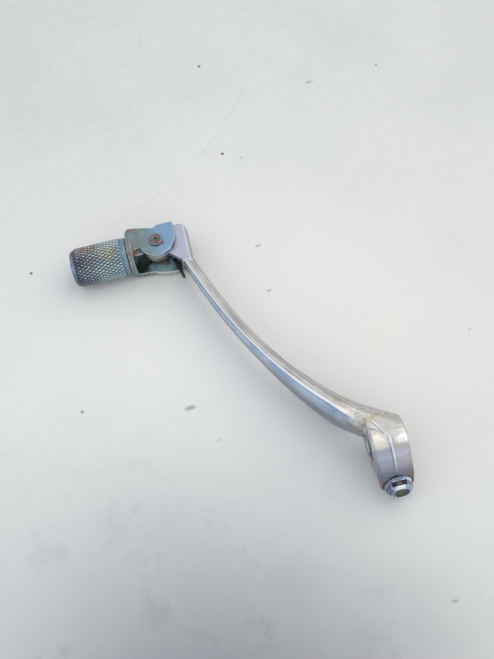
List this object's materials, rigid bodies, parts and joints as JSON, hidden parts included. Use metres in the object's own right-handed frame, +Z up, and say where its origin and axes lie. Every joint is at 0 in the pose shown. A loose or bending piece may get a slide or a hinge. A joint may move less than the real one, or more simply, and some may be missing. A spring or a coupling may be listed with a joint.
{
  "type": "gear shift lever",
  "caption": "Forged shift lever with a splined pinch-clamp hub, a slim curved arm and a spring-loaded folding toe piece with a knurled peg.",
  "frame": {"origin": "on the shift shaft's axis, at the hub's inboard face", "axes": "+X inboard along the shaft, +Y forward from the hub to the toe piece, +Z up, as the lever lies on a bench"},
  "size_m": [0.1245, 0.1515, 0.0268],
  "materials": {
    "forged_aluminium": "polished and finely brushed along its length, lightly worn",
    "bolt_steel": "bright plated, dirty inside the dished head",
    "zinc_steel": "zinc plate with a blue and green passivate, rusting at its corners",
    "knurled_steel": "diamond knurl, plated, with purple, brown and teal tarnish",
    "rivet_steel": "dull tarnished steel",
    "spring_steel": "dark oiled spring wire"
  },
  "bodies": {
    "lever": {"lever_arm": "forged_aluminium", "clamp_bolt": "bolt_steel"},
    "toe_piece": {"tip_bracket": "zinc_steel", "toe_peg": "knurled_steel", "pivot_pin": "rivet_steel", "pivot_bush": "rivet_steel", "return_spring": "spring_steel"}
  },
  "joints": [
    {"name": "tip_fold", "type": "hinge", "parent": "lever", "child": "toe_piece", "pos_m": [-0.0833, 0.1216, -0.0061], "axis": [0, 0, 1], "range_deg": [0, 90], "stiffness_Nm_per_rad": 0.12, "springref_deg": -34.38, "deforming": ["return_spring"]}
  ]
}
